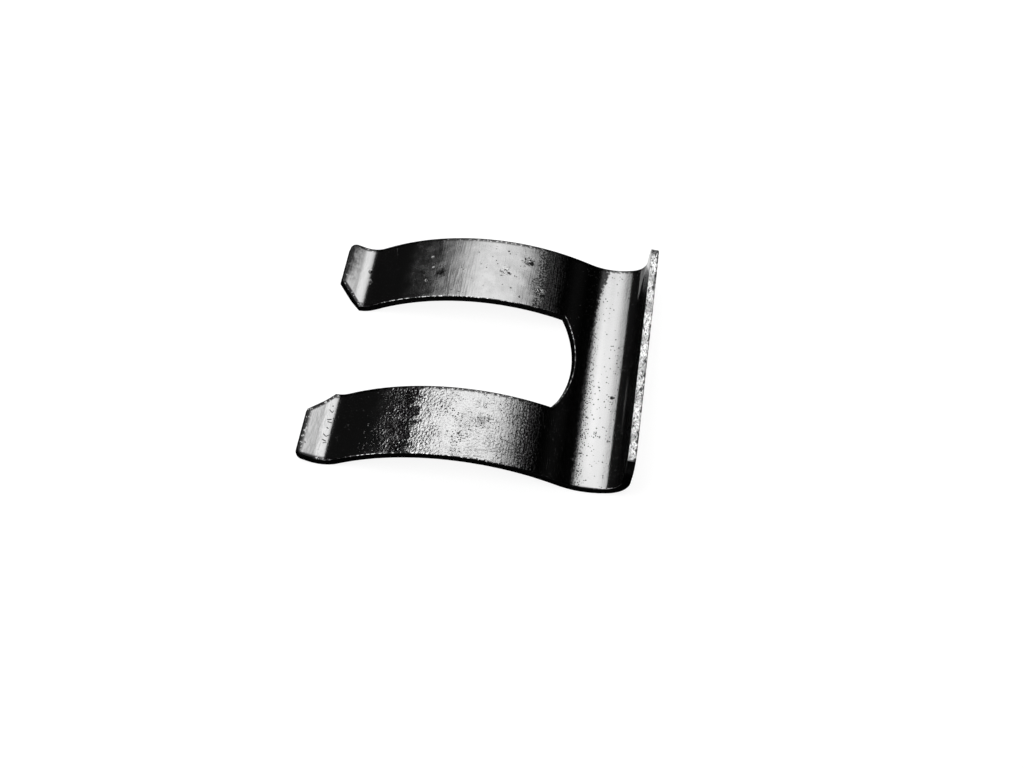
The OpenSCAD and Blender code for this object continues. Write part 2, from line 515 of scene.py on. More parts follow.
class Nodes:
    """Short hand for building a node tree."""

    def __init__(self, tree: Tree, flat: bool = False) -> None:
        """Keeps the tree, and whether its patterns only vary over the flat of the strip."""
        self.tree = tree
        self.dimensions = "2D" if flat else "3D"

    def add(self, kind: str, *values: object, **settings: object) -> Node:
        """Adds a node.

        Args:
            kind: Blender's name of the node.
            values: Values or sockets for its inputs, in their order.
            settings: Its properties by name.

        Returns:
            The node.
        """
        node = self.tree.nodes.new(kind)
        for name, setting in settings.items():
            setattr(node, name, setting)
        for socket, value in zip(node.inputs, values):
            self.feed(socket, value)
        return node

    def feed(self, socket: Socket, value: object) -> None:
        """Links a socket to another, or sets its value.

        Args:
            socket: What is fed.
            value: The socket or the value that it takes.
        """
        if isinstance(value, bpy.types.NodeSocket):
            self.tree.links.new(value, socket)
        else:
            socket.default_value = value

    def math(self, operation: str, *values: object) -> Socket:
        """Adds a Math node for one to three values and returns its result."""
        return self.add("ShaderNodeMath", *values, operation=operation).outputs[0]

    def times(self, *values: object) -> Socket:
        """Product of several values."""
        return reduce(partial(self.math, "MULTIPLY"), values)

    def total(self, *values: object) -> Socket:
        """Sum of several values."""
        return reduce(partial(self.math, "ADD"), values)

    def most(self, *values: object) -> Socket:
        """Largest of several values."""
        return reduce(partial(self.math, "MAXIMUM"), values)

    def minus(self, a: object, b: object) -> Socket:
        """Difference of two values."""
        return self.math("SUBTRACT", a, b)

    def without(self, kept: Socket, mark: Socket, stain: object = 1.0) -> Socket:
        """Takes a share away from a value under a mark."""
        return self.times(kept, self.minus(1.0, self.times(mark, stain)))

    def vector(self, operation: str, a: object, b: object) -> Socket:
        """Adds a Vector Math node.

        Args:
            operation: Blender's name of the operation.
            a: First vector, value or socket.
            b: Second vector, or the number to scale by, value or socket.

        Returns:
            The socket of the result, which is a number for a distance or a dot product.
        """
        node = self.add("ShaderNodeVectorMath", a, operation=operation)
        self.feed(node.inputs["Scale" if operation == "SCALE" else 1], b)
        return node.outputs["Value" if operation in ("DISTANCE", "DOT_PRODUCT") else "Vector"]

    def join(self, x: object, y: object, z: object) -> Socket:
        """Adds a Combine XYZ node and returns its vector."""
        return self.add("ShaderNodeCombineXYZ", x, y, z).outputs[0]

    def split(self, place: Socket) -> tuple[Socket, Socket, Socket]:
        """Adds a Separate XYZ node and returns its three numbers."""
        return tuple(self.add("ShaderNodeSeparateXYZ", place).outputs)

    def ramp(
        self, value: Socket, low: float, high: float, to_low: float = 0.0, to_high: float = 1.0
    ) -> Socket:
        """Maps a value smoothly from one range to another, and holds it at both ends.

        Args:
            value: What is mapped.
            low: Value that becomes to_low.
            high: Value that becomes to_high.
            to_low: Result at low.
            to_high: Result at high.

        Returns:
            The socket of the result.
        """
        ends = (value, low, high, to_low, to_high)
        return self.add("ShaderNodeMapRange", *ends, interpolation_type="SMOOTHSTEP").outputs[0]

    def fall(self, value: Socket, low: float, high: float) -> Socket:
        """Falls smoothly from 1 at the low value to 0 at the high one."""
        return self.ramp(value, low, high, 1.0, 0.0)

    def between(self, share: Socket, off: float, on: float) -> Socket:
        """Goes smoothly from one number to another while a share goes from 0 to 1."""
        return self.ramp(share, 0.0, 1.0, off, on)

    @staticmethod
    def apart(seed: float) -> tuple[float, float, float]:
        """Offset, in mm, that sets one pattern apart from another."""
        return (37.7 * seed, 91.3 * seed, 53.1 * seed)

    def noise(self, place: Socket, grain: Grain, seed: Socket | None = None) -> Socket:
        """Adds a Noise Texture.

        Args:
            place: Place on the blank, in mm.
            grain: Which pattern it is.
            seed: Socket that varies the pattern, where there is one.

        Returns:
            The socket of its value, which is about 0.5 on average.
        """
        pattern = grain.value
        if pattern.stretch is not None:
            place = self.vector("MULTIPLY", place, pattern.stretch)
        if seed is None:
            place = self.vector("ADD", place, self.apart(pattern.seed))
            node = self.add("ShaderNodeTexNoise", noise_dimensions=self.dimensions)
        else:
            node = self.add("ShaderNodeTexNoise", noise_dimensions="4D")
            self.feed(node.inputs["W"], seed)
        self.feed(node.inputs["Vector"], place)
        node.inputs["Scale"].default_value = pattern.scale
        node.inputs["Detail"].default_value = pattern.detail
        node.inputs["Roughness"].default_value = pattern.rough
        return node.outputs[0]


class Shaping(Nodes):
    """Nodes of a geometry tree, with its inputs in given."""

    def __init__(self, name: str, numbers: Iterable[str], vectors: Iterable[str] = ()) -> None:
        """Starts the tree, which takes a geometry in and gives one out.

        Args:
            name: Name of the tree.
            numbers: Names of the numbers that it takes.
            vectors: Names of the vectors that it takes.
        """
        super().__init__(bpy.data.node_groups.new(name, "GeometryNodeTree"))
        face = self.tree.interface
        face.new_socket("Geometry", in_out="OUTPUT", socket_type="NodeSocketGeometry")
        face.new_socket("Geometry", in_out="INPUT", socket_type="NodeSocketGeometry")
        for number in numbers:
            face.new_socket(number, in_out="INPUT", socket_type="NodeSocketFloat")
        for vector in vectors:
            face.new_socket(vector, in_out="INPUT", socket_type="NodeSocketVector")
        self.given = self.add("NodeGroupInput").outputs

    def named(self, name: str, kind: str = "FLOAT") -> Socket:
        """Reads an attribute of the mesh."""
        node = self.add("GeometryNodeInputNamedAttribute", name, data_type=kind)
        return node.outputs["Attribute"]

    def turned(self, arm: Socket, angle: Socket) -> Socket:
        """Turns a vector about the Y axis.

        Args:
            arm: The vector.
            angle: The angle, in radians.

        Returns:
            The turned vector.
        """
        node = self.add("ShaderNodeVectorRotate", rotation_type="Y_AXIS")
        self.feed(node.inputs["Vector"], arm)
        self.feed(node.inputs["Angle"], angle)
        return node.outputs[0]

    def moved(self, shape: Socket, way: str, vector: Socket) -> Socket:
        """Moves the points of a geometry.

        Args:
            shape: The geometry.
            way: "Position" to give the points a new place, "Offset" to add to the old one.
            vector: The place, or what is added to it.

        Returns:
            The geometry with its points moved.
        """
        node = self.add("GeometryNodeSetPosition", shape)
        self.feed(node.inputs[way], vector)
        return node.outputs[0]

    def finished(self, shape: Socket) -> Tree:
        """Gives the geometry out and returns the tree."""
        self.add("NodeGroupOutput", shape)
        return self.tree


@dataclass
class Press:
    """The press that bends the flat strip, as a tree of geometry nodes.

    Attributes:
        bends: The bends, in order from the toes.
        toe_tip: Place of the mid-line at the toe tips, in mm, as (x, z).
        toe_angle: Angle by which the toes point upwards, in degrees.
        ripple: Height of the slow unevenness that the press leaves in the skins, in mm.
        tear: Height of the roughness on the sheared edges, in mm.
        tear_level: Value of the tear pattern at which an edge stays where it is.
        flange_top: Stations over which the tear grows towards the flange's top, in mm.
        flange_tear: How much higher the tear is there.
        seed: Seed of all that is random here.
    """

    bends: tuple[Bend, ...] = (
        Bend("Toe bend", 1.65, 3.15, 53.025),
        Bend("Bow", 5.5653, -25.25, -54.415),
        Bend("Trough", 30.5459, 6.95, 39.390),
        Bend("Flange bend", 35.7239, 2.65, 70.0),
    )
    toe_tip: tuple[float, float] = (-18.4653, 1.4424)
    toe_angle: float = 25.0
    ripple: float = 0.012
    tear: float = 0.055
    tear_level: float = 0.72
    flange_top: tuple[float, float] = (41.6, 42.4)
    flange_tear: float = 1.9
    seed: float = 3.0

    def sizes(self) -> dict[str, object]:
        """The tree's inputs by name, in metres and radians.

        Returns:
            The numbers and the vector that a modifier gives the tree.
        """
        sizes: dict[str, object] = {}
        for bend in self.bends:
            sizes[f"{bend.name} start"] = bend.start * MM
            sizes[f"{bend.name} radius"] = bend.radius * MM
            sizes[f"{bend.name} turn"] = math.radians(bend.turn)
        sizes["Toe angle"] = math.radians(self.toe_angle)
        sizes["Toe tip"] = (self.toe_tip[0] * MM, 0.0, self.toe_tip[1] * MM)
        sizes["Ripple"] = self.ripple * MM
        sizes["Tear"] = self.tear * MM
        sizes["Seed"] = self.seed
        return sizes

    def bend_group(self) -> Tree:
        """Node group that bends what lies past a station, about an axis along Y.

        Returns:
            The group, which the whole tree uses once for each bend.
        """
        n = Shaping("Press bend", ("Start", "Radius", "Turn"))
        start, radius, turn = (n.given[name] for name in ("Start", "Radius", "Turn"))
        past = n.most(n.minus(n.named(STATION), start), 0.0)
        run = n.math("MINIMUM", past, n.times(radius, turn))
        turned = n.math("DIVIDE", run, radius)
        middle = n.join(n.total(start, run), 0.0, 0.0)
        arm = n.vector("SUBTRACT", n.add("GeometryNodeInputPosition").outputs[0], middle)
        arm = n.turned(arm, n.times(turned, -1.0))
        along = n.total(start, n.times(radius, n.math("SINE", turned)))
        rise = n.times(radius, n.minus(1.0, n.math("COSINE", turned)))
        place = n.vector("ADD", n.join(along, 0.0, rise), arm)
        return n.finished(n.moved(n.given["Geometry"], "Position", place))

    def lay(self, n: Shaping, shape: Socket) -> Socket:
        """Turns the toes up to their angle and lays the clip where it rests.

        Args:
            n: The tree's nodes.
            shape: Geometry so far.

        Returns:
            The geometry, laid down.
        """
        place = n.add("GeometryNodeInputPosition").outputs[0]
        turned = n.turned(place, n.given["Toe angle"])
        return n.moved(shape, "Position", n.vector("ADD", turned, n.given["Toe tip"]))

    def wear(self, n: Shaping, shape: Socket) -> Socket:
        """Adds the slow ripple of the skins and the torn texture of the sheared edges.

        Args:
            n: The tree's nodes.
            shape: Geometry so far.

        Returns:
            The geometry with its wear.
        """
        blank, cut = n.named(BLANK, "FLOAT_VECTOR"), n.named(CUT_SHARE)
        slow = n.noise(blank, Grain.RIPPLE, n.given["Seed"])
        torn = n.noise(blank, Grain.TEAR, n.given["Seed"])
        skin = n.times(n.minus(slow, 0.5), n.given["Ripple"], n.minus(1.0, cut))
        edge = n.times(n.minus(torn, self.tear_level), n.given["Tear"], cut)
        station = n.split(blank)[0]
        edge = n.times(edge, n.ramp(station, *self.flange_top, 1.0, self.flange_tear))
        normal = n.add("GeometryNodeInputNormal").outputs[0]
        return n.moved(shape, "Offset", n.vector("SCALE", normal, n.total(skin, edge)))

    def tree(self, rolled: bpy.types.Material, sheared: bpy.types.Material) -> Tree:
        """Whole tree: the bends from the last to the first, the wear and the finishes.

        Args:
            rolled: Finish of the rolled skins.
            sheared: Finish of the sheared edges.

        Returns:
            The tree, ready for a modifier.
        """
        numbers = [name for name in self.sizes() if name != "Toe tip"]
        n = Shaping("Press the clip", numbers, ["Toe tip"])
        shape = n.given["Geometry"]
        group = self.bend_group()
        for bend in reversed(self.bends):
            node = n.add("GeometryNodeGroup", node_tree=group, label=bend.name)
            n.feed(node.inputs["Geometry"], shape)
            for word in ("start", "radius", "turn"):
                n.feed(node.inputs[word.capitalize()], n.given[f"{bend.name} {word}"])
            shape = node.outputs[0]
        shape = self.wear(n, self.lay(n, shape))
        shape = n.add("GeometryNodeRealizeInstances", shape).outputs[0]
        cut = n.named(CUT_FACE, "BOOLEAN")
        for finish, chosen in ((rolled, True), (sheared, cut)):
            node = n.add("GeometryNodeSetMaterial", shape)
            n.feed(node.inputs["Selection"], chosen)
            n.feed(node.inputs["Material"], finish)
            shape = node.outputs[0]
        return n.finished(shape)

    def press(
        self,
        flat: bpy.types.Mesh,
        name: str,
        rolled: bpy.types.Material,
        sheared: bpy.types.Material,
    ) -> bpy.types.Object:
        """Bends the strip and returns it as a plain mesh.

        Args:
            flat: The flat strip.
            name: Name of the piece.
            rolled: Finish of the rolled skins.
            sheared: Finish of the sheared edges.

        Returns:
            The finished piece, with no modifier on it.
        """
        piece = bpy.data.objects.new(name, flat)
        bpy.context.scene.collection.objects.link(piece)
        tree = self.tree(rolled, sheared)
        modifier = piece.modifiers.new("Press", "NODES")
        modifier.node_group = tree
        sizes = self.sizes()
        for item in tree.interface.items_tree:
            if item.in_out == "INPUT" and item.name in sizes:
                modifier[item.identifier] = sizes[item.name]
        bpy.context.view_layer.update()
        graph = bpy.context.evaluated_depsgraph_get()
        pressed = bpy.data.meshes.new_from_object(piece.evaluated_get(graph))
        piece.modifiers.remove(modifier)
        pressed.name = name
        piece.data = pressed
        return piece


@dataclass(frozen=True)
class Scratch:
    """A straight scratch or nick in the upper skin, sized in mm.

    Attributes:
        start: One end, as station and place across.
        end: The other end.
        width: Its width.
        depth: Its depth.
        stain: How much of the tone it takes away.
    """

    start: tuple[float, float]
    end: tuple[float, float]
    width: float
    depth: float
    stain: float


class Metal(Nodes):
    """Nodes of a metal's material, with the place on the blank, in mm, that they read.

    Attributes:
        blank: Place on the blank.
        station: Its station.
        across: Its place across.
        level: Its height off the middle of the strip's thickness.
        rim: 1 on the rims and the sheared faces, 0 on the skins.
        spot_core: Share of a spot's reach within which it is whole.
        stroke_core: Share of a stroke's width, to one side, within which it is whole.
        speck_least: Reach of the smallest speck, as a share of the largest one's.
        speck_border: Width of a speck's border, as a share of the largest one's reach.
    """

    spot_core: float = 0.3
    stroke_core: float = 0.15
    speck_least: float = 0.4
    speck_border: float = 0.25

    def __init__(self, name: str, flat: bool = False) -> None:
        """Starts the material.

        Args:
            name: Name of the material.
            flat: Whether its patterns only vary over the flat of the strip.
        """
        self.material = bpy.data.materials.new(name)
        self.material.use_nodes = True
        super().__init__(self.material.node_tree, flat)
        self.shader = self.tree.nodes["Principled BSDF"]
        self.shader.inputs["Metallic"].default_value = 1.0
        self.blank = self.add("ShaderNodeAttribute", attribute_name=BLANK).outputs["Vector"]
        self.rim = self.add("ShaderNodeAttribute", attribute_name=RIM).outputs["Fac"]
        self.station, self.across, self.level = self.split(self.blank)

    def grain(self, grain: Grain) -> Socket:
        """Value of a noise pattern, which is about 0.5 on average."""
        return self.noise(self.blank, grain)

    def sway(self, grain: Grain) -> Socket:
        """Value of a noise pattern, shifted to be about 0 on average."""
        return self.minus(self.grain(grain), 0.5)

    def spot(
        self,
        middle: tuple[float, float],
        reach: float,
        ragged: Socket | None = None,
        squeeze: float = 1.0,
    ) -> Socket:
        """Makes a round spot on the upper skin.

        Args:
            middle: Middle of the spot, as station and place across, in mm.
            reach: Radius of the spot along the strip, in mm.
            ragged: Value about 0 that shifts its outline, in mm, where it isn't round.
            squeeze: Its length along the strip over its width.

        Returns:
            A value that is 1 in the middle and 0 outside.
        """
        place = self.blank
        if squeeze != 1.0:
            place = self.vector("MULTIPLY", place, (1.0, squeeze, 1.0))
        away = self.vector("DISTANCE", place, (middle[0], middle[1] * squeeze, UPPER_SKIN))
        if ragged is not None:
            away = self.total(away, ragged)
        return self.fall(away, reach * self.spot_core, reach)

    def stroke(self, scratch: Scratch) -> Socket:
        """Makes a straight stroke on the upper skin.

        Args:
            scratch: The scratch that it stands for.

        Returns:
            A value that is 1 along the stroke's middle and 0 outside.
        """
        (x, y), (to_x, to_y) = scratch.start, scratch.end
        length = math.hypot(to_x - x, to_y - y)
        way = ((to_x - x) / length, (to_y - y) / length, 0.0)
        arm = self.vector("SUBTRACT", self.blank, (x, y, UPPER_SKIN))
        along = self.most(self.vector("DOT_PRODUCT", arm, way), 0.0)
        step = self.vector("SCALE", way, self.math("MINIMUM", along, length))
        gap = self.vector("DISTANCE", arm, step)
        core = scratch.width * self.stroke_core
        return self.fall(gap, core, scratch.width * 0.5)

    def specks(self, kept: object, per_mm: float, reach: float, seed: float) -> Socket:
        """Scatters small round specks of different sizes.

        Args:
            kept: Share of the cells that hold a speck, as a number or a socket.
            per_mm: Number of cells in a millimetre, each with one speck at most.
            reach: Radius of the largest speck, as a share of a cell.
            seed: Number that tells one pattern from another.

        Returns:
            A value that is 1 in the middle of a speck and 0 between the specks.
        """
        node = self.add("ShaderNodeTexVoronoi", voronoi_dimensions=self.dimensions)
        self.feed(node.inputs["Vector"], self.vector("ADD", self.blank, self.apart(seed)))
        node.inputs["Scale"].default_value = per_mm
        chance = self.add("ShaderNodeSeparateColor", node.outputs["Color"]).outputs
        there = self.math("LESS_THAN", chance[0], kept)
        size = self.times(there, self.between(chance[1], reach * self.speck_least, reach))
        inward = self.minus(size, node.outputs["Distance"])
        return self.ramp(inward, 0.0, reach * self.speck_border)

    def finished(self, tone: Socket, height: Socket) -> bpy.types.Material:
        """Gives the shader its tone and its relief.

        Args:
            tone: Tone of the metal.
            height: Relief, in mm.

        Returns:
            The material.
        """
        self.feed(self.shader.inputs["Base Color"], self.join(tone, tone, tone))
        bump = self.add("ShaderNodeBump")
        bump.inputs["Distance"].default_value = MM
        bump.inputs["Strength"].default_value = 1.0
        self.feed(bump.inputs["Height"], height)
        self.feed(self.shader.inputs["Normal"], bump.outputs[0])
        return self.material


class Skin(Metal):
    """Nodes of the rolled skin.

    Attributes:
        bow_begins: Stations over which the bow of the legs begins, in mm.
        bow_ends: Stations over which it ends.
        front_side: Places across over which the coarser skin of the front leg begins.
        legs: Places across between which a number for each leg blends.
        upper: 1 on the upper skin and 0 from the middle of the thickness down.
        leg: 1 on the bow of the legs and 0 elsewhere.
        front: 1 on the front leg's side of the strip, where the skin is coarser.
        coarse: 1 on the bow of the front leg and 0 elsewhere.
    """

    bow_begins: tuple[float, float] = (7.5, 10.5)
    bow_ends: tuple[float, float] = (25.0, 29.0)
    front_side: tuple[float, float] = (-5.0, -7.0)
    legs: tuple[float, float] = (-7.0, 7.0)

    def __init__(self, name: str) -> None:
        """Starts the material.

        Args:
            name: Name of the material.
        """
        super().__init__(name, flat=True)
        self.upper = self.ramp(self.level, 0.0, UPPER_SKIN)
        begun = self.ramp(self.station, *self.bow_begins)
        self.leg = self.times(begun, self.fall(self.station, *self.bow_ends))
        self.front = self.ramp(self.across, *self.front_side)
        self.coarse = self.times(self.leg, self.front)

    def by_leg(self, front: float, back: float) -> Socket:
        """One number on the front leg and another on the back leg."""
        return self.ramp(self.across, *self.legs, front, back)


@dataclass(frozen=True)
class RolledSteel:
    """Dark skin of the rolled strip, with its peel, marks, oil, painted shade and painted
    highlights.

    Attributes:
        tone: Tone of the metal.
        darkest: Share of the tone that is left where marks lie over each other.
        rough: Roughness where the skin is clean.
        clouded: Roughness where the oil has dried in clouds.
        rim_highlight_gain: How much lighter the upper rim is painted along the legs, a painted
            highlight.
        bow_shade_share: Share of the tone that the painted shade past the bow and on the
            flange's inner face takes away.
        oil_patch: Middle of the oil patch on the back toe, as station and place across.
        oil_reach: Radius of that patch along the strip, in mm.
        oil_long: Its length over its width.
        toe_swell: How far the skin rises from the toe tips to the toe bends, in mm.
        pit_depth: Depth of the pits, in mm.
        bead_height: Height of the beads on the front leg, in mm.
        pit_stain: Share of the tone that a pit takes away.
        drawn_stain: Share that the streaks across the back leg take away.
        patch_stain: Share that the oil patch takes away.
        shore_shade_share: Share of the tone that the painted shade before the trough takes
            away.
        edge_shade_share: Share of the tone that the painted shade along the toes and the legs'
            far edges takes away.
        film_stain: Share that the film of oil on the lower skin takes away.
        chipped_stain: Share that the chips along the rims take away.
        rash_wander: How far the borders of the front leg's speckled band wander along the
            strip, in mm.
        shore_wander: How far the shore of the oil wanders, in mm.
        patch_wander: How far the outline of the oil patch wanders, in mm.
        bruise_wander: How far a bruise's outline wanders, as a share of its reach.
        bruise_rough: How rugged a bruise is, as a share of its height.
        bruise_sunk: How far it is sunk, as a share of its height.
        clusters: Places where pits crowd together, as station and place across.
        cluster_reach: How far they crowd round each place, in mm.
        cluster_share: Share of the cells that they fill in its middle.
        half_slot: Half the width of the slot, in mm.
        mouth_start: Place across of the slanted mouth of the slot at the toe tips, in mm.
        mouth_slope: How far the mouth narrows on each side in a mm along the strip.
        bruises: Bruised spots.
        scratches: Scratches and the nicks of the press.
    """

    tone: float = 0.2
    darkest: float = 0.05
    rough: float = 0.14
    clouded: float = 0.32
    rim_highlight_gain: float = 2.3
    bow_shade_share: float = 0.93
    oil_patch: tuple[float, float] = (-0.2, 13.2)
    oil_reach: float = 2.3
    oil_long: float = 0.42
    toe_swell: float = 0.14
    pit_depth: float = 0.018
    bead_height: float = 0.022
    pit_stain: float = 0.9
    drawn_stain: float = 0.55
    patch_stain: float = 0.90
    shore_shade_share: float = 0.90
    edge_shade_share: float = 0.93
    film_stain: float = 0.4
    chipped_stain: float = 0.92
    rash_wander: float = 5.0
    shore_wander: float = 1.5
    patch_wander: float = 1.8
    bruise_wander: float = 1.2
    bruise_rough: float = 2.5
    bruise_sunk: float = 0.6
    clusters: tuple[tuple[float, float], ...] = ((16.9, -9.2), (21.05, -9.95), (18.6, -12.6))
    cluster_reach: float = 1.3
    cluster_share: float = 0.55
    half_slot: float = 6.2
    mouth_start: float = 9.1
    mouth_slope: float = 1.0357
    bruises: tuple[Chip, ...] = BRUISES
    scratches: tuple[Scratch, ...] = (
        Scratch((23.25, -11.85), (25.35, -12.35), 0.12, 0.006, 0.5),
        Scratch((6.5, 14.4), (6.8, 13.4), 0.12, 0.008, 0.0),
        Scratch((2.55, -8.45), (2.95, -8.75), 0.12, 0.03, 0.8),
        Scratch((2.95, -8.75), (3.1, -8.5), 0.10, 0.03, 0.6),
        Scratch((2.6, -9.75), (3.05, -9.65), 0.14, 0.03, 0.8),
        Scratch((2.7, -10.0), (3.25, -10.1), 0.12, 0.03, 0.7),
        Scratch((2.75, -10.75), (2.95, -10.85), 0.13, 0.03, 0.8),
        Scratch((2.55, -11.65), (2.95, -11.9), 0.13, 0.03, 0.8),
        Scratch((2.95, -11.9), (3.3, -11.7), 0.11, 0.03, 0.6),
        Scratch((2.6, -12.35), (3.05, -12.5), 0.13, 0.03, 0.8),
        Scratch((2.75, -12.75), (3.15, -12.7), 0.10, 0.03, 0.6),
    )

    def relief(self, n: Skin) -> Socket:
        """Relief that the rolling and the press leave all over the skin.

        Args:
            n: The skin's nodes.

        Returns:
            The height, in mm.
        """
        wave = n.times(n.grain(Grain.WAVE), n.between(n.leg, 0.008, 0.030))
        patchy = n.ramp(n.grain(Grain.PEEL_PATCHES), 0.35, 0.65, 0.45, 1.0)
        peel = n.times(n.grain(Grain.PEEL), n.times(n.between(n.coarse, 0.004, 0.060), patchy))
        end = n.times(n.ramp(n.station, 20.5, 22.5), n.leg)
        depth = n.total(n.between(n.leg, 0.002, 0.009), n.times(end, 0.014))
        brush = n.times(n.grain(Grain.BRUSH), depth)
        swell = n.ramp(n.station, 0.3, 2.8, 0.0, self.toe_swell)
        return n.total(wave, peel, brush, swell)

    def pitting(self, n: Skin) -> Socket:
        """Small dark pits, thick along the near border of the trough and on the front leg.

        Args:
            n: The skin's nodes.

        Returns:
            A value that is 1 in a pit and 0 elsewhere.
        """
        trough = n.ramp(n.station, 29.0, 31.5)
        border = n.times(
            n.fall(n.station, 32.3, 32.9), trough, n.ramp(n.across, 9.0, -3.0, 0.15, 0.75)
        )
        patches = n.ramp(n.grain(Grain.PIT_PATCHES), 0.36, 0.60)
        patches = n.times(patches, n.between(trough, 1.0, 0.45))
        front = n.ramp(n.across, 4.0, -5.0)
        thick = n.times(n.between(front, 0.01, 0.24), patches)
        bow = n.ramp(n.station, 12.5, 14.5, 0.10, 1.0)
        kept = n.total(n.times(n.total(n.between(trough, 0.012, 0.07), thick), bow), border)
        for place in self.clusters:
            crowd = n.times(n.spot(place, self.cluster_reach), self.cluster_share)
            kept = n.total(kept, crowd)
        fine = n.specks(kept, per_mm=4.2, reach=0.36, seed=21.0)
        few = n.specks(n.times(kept, 0.22), per_mm=1.7, reach=0.20, seed=24.0)
        return n.times(n.most(fine, few), n.between(n.upper, 0.15, 1.0))

    def beads(self, n: Skin) -> Socket:
        """Small beads that burst out of the front leg, most of them early on its bow.

        Args:
            n: The skin's nodes.

        Returns:
            A value that is 1 in the middle of a bead and 0 between the beads.
        """
        burst = n.times(n.coarse, n.ramp(n.station, 13.0, 17.0, 0.36, 0.05))
        early = n.most(n.ramp(n.station, 11.5, 12.8), n.ramp(n.across, -9.5, -12.5))
        burst = n.times(burst, n.between(early, 0.08, 1.0))
        return n.specks(burst, per_mm=3.3, reach=0.42, seed=25.0)

    def pits_and_painted_glints(self, n: Skin) -> Socket:
        """Salt and pepper of the front leg: dark pits at its near side, and painted glints and
        a painted lighter step past it.

        Args:
            n: The skin's nodes.

        Returns:
            What the tone is multiplied by.
        """
        shifted = n.total(n.station, n.times(n.sway(Grain.WANDER), self.rash_wander))
        grain = n.grain(Grain.SALT)
        packed = n.minus(grain, n.ramp(shifted, 12.5, 13.2, 0.0, 0.07))
        # The pepper and the salt lighten the tone where they fall below 0: those specks are
        # painted glints.
        pepper = n.times(
            n.ramp(shifted, 11.3, 12.3),
            n.fall(shifted, 13.6, 13.9),
            n.front,
            n.ramp(packed, 0.58, 0.66, 0.93, -0.6),
        )
        salt = n.times(
            n.ramp(shifted, 13.4, 13.8),
            n.ramp(shifted, 14.0, 16.5, 1.0, 0.28),
            n.fall(n.station, 19.0, 27.0),
            n.front,
            n.ramp(grain, 0.32, 0.48, 0.50, -0.45),
        )
        return n.minus(n.minus(1.0, pepper), salt)

    def drawn(self, n: Skin) -> Socket:
        """Dark streaks across the back leg, where its bow begins.

        Args:
            n: The skin's nodes.

        Returns:
            A value that is 1 in a streak and 0 elsewhere.
        """
        return n.times(
            n.ramp(n.grain(Grain.DRAWN), 0.42, 0.62),
            n.ramp(n.across, 4.0, 6.0),
            n.ramp(n.across, 9.5, 12.0, 1.0, 0.45),
            n.ramp(n.station, 13.0, 14.2),
            n.fall(n.station, 15.0, 18.0),
        )

    def painted_edge_shade(self, n: Skin) -> Socket:
        """Painted shade in a ragged band along the toes' outline and the legs' far edges: the
        back leg's outer side and the front leg's inner side.

        Args:
            n: The skin's nodes.

        Returns:
            A value that is 1 in the painted shade and 0 elsewhere.
        """
        toe = n.fall(n.station, 2.5, 5.0)
        back = n.ramp(n.across, -1.0, 1.0, 0.0, 0.85)
        front = n.times(n.ramp(n.across, 1.0, -1.0), n.ramp(n.station, 28.0, 29.0, 0.9, 0.0))
        side = n.math("ABSOLUTE", n.across)
        outer = n.times(n.ramp(side, 14.36, 14.70), n.most(toe, back))
        slant = n.minus(self.mouth_start, n.times(n.station, self.mouth_slope))
        inward = n.minus(side, n.most(slant, self.half_slot))
        inner = n.fall(n.minus(inward, n.between(toe, 0.0, 0.20)), 0.26, 0.56)
        inner = n.times(inner, n.most(toe, front))
        band = n.most(n.fall(n.station, 0.20, 0.75), outer, inner)
        # Ragged grain of the painted shade along the edges.
        edge_grain = n.total(n.grain(Grain.EDGE_SHADE_RAGS), n.between(toe, 0.0, 0.05))
        return n.times(band, n.ramp(edge_grain, 0.40, 0.47))

    def marked(self, n: Skin, height: Socket, kept: Socket) -> tuple[Socket, Socket]:
        """Adds the bruises and the scratches.

        Args:
            n: The skin's nodes.
            height: Relief so far, in mm.
            kept: Share of the tone that is left so far.

        Returns:
            The relief and the share that is left.
        """
        rugged = n.sway(Grain.RUGGED)
        for chip in self.bruises:
            ragged = n.times(rugged, min(1.0, self.bruise_wander * chip.reach))
            spot = n.spot((chip.station, chip.across), chip.reach, ragged)
            bruise = n.times(rugged, self.bruise_rough * chip.height)
            bruise = n.minus(bruise, self.bruise_sunk * chip.height)
            height = n.total(height, n.times(spot, bruise))
            # A stain below 0 lightens the tone: a painted highlight on the bruise.
            if chip.stain != 0.0:
                kept = n.without(kept, spot, chip.stain)
        for scratch in self.scratches:
            mark = n.stroke(scratch)
            height = n.minus(height, n.times(mark, scratch.depth))
            if scratch.stain > 0.0:
                kept = n.without(kept, mark, scratch.stain)
        return height, kept

    def toe_oil(self, n: Skin, kept: Socket) -> Socket:
        """Darkens the toes with wiped streaks and the patch of oil.

        Args:
            n: The skin's nodes.
            kept: Share of the tone that is left so far.

        Returns:
            The share that is left.
        """
        streaks = n.grain(Grain.WIPED)
        wiped = n.times(
            n.ramp(streaks, 0.40, 0.62), n.fall(n.station, 2.4, 3.2), n.by_leg(0.18, 0.07)
        )
        ragged = n.times(n.sway(Grain.OIL), self.patch_wander)
        patch = n.spot(self.oil_patch, self.oil_reach, ragged, self.oil_long)
        patch = n.times(patch, n.ramp(streaks, 0.35, 0.6, 0.8, 1.0))
        return n.without(n.without(kept, wiped), patch, self.patch_stain)

    def shore(self, n: Skin) -> Socket:
        """Painted shade before the trough, up to a ragged shore that bends towards the back.

        Args:
            n: The skin's nodes.

        Returns:
            A value that is 1 under the painted shade and 0 elsewhere.
        """
        bend = n.total(
            n.ramp(n.across, 2.0, 13.0, 0.0, 0.5), n.ramp(n.across, 10.0, 15.0, 0.0, 0.8)
        )
        wander = n.times(n.sway(Grain.SHORE), self.shore_wander)
        shore = n.total(n.minus(n.station, bend), wander)
        return n.times(n.fall(shore, 31.45, 31.75), n.ramp(n.station, 28.5, 30.5))

    def film(self, n: Skin) -> Socket:
        """Cloudy film of oil on the lower skin."""
        return n.times(n.ramp(n.grain(Grain.FILM), 0.36, 0.62), n.minus(1.0, n.upper))

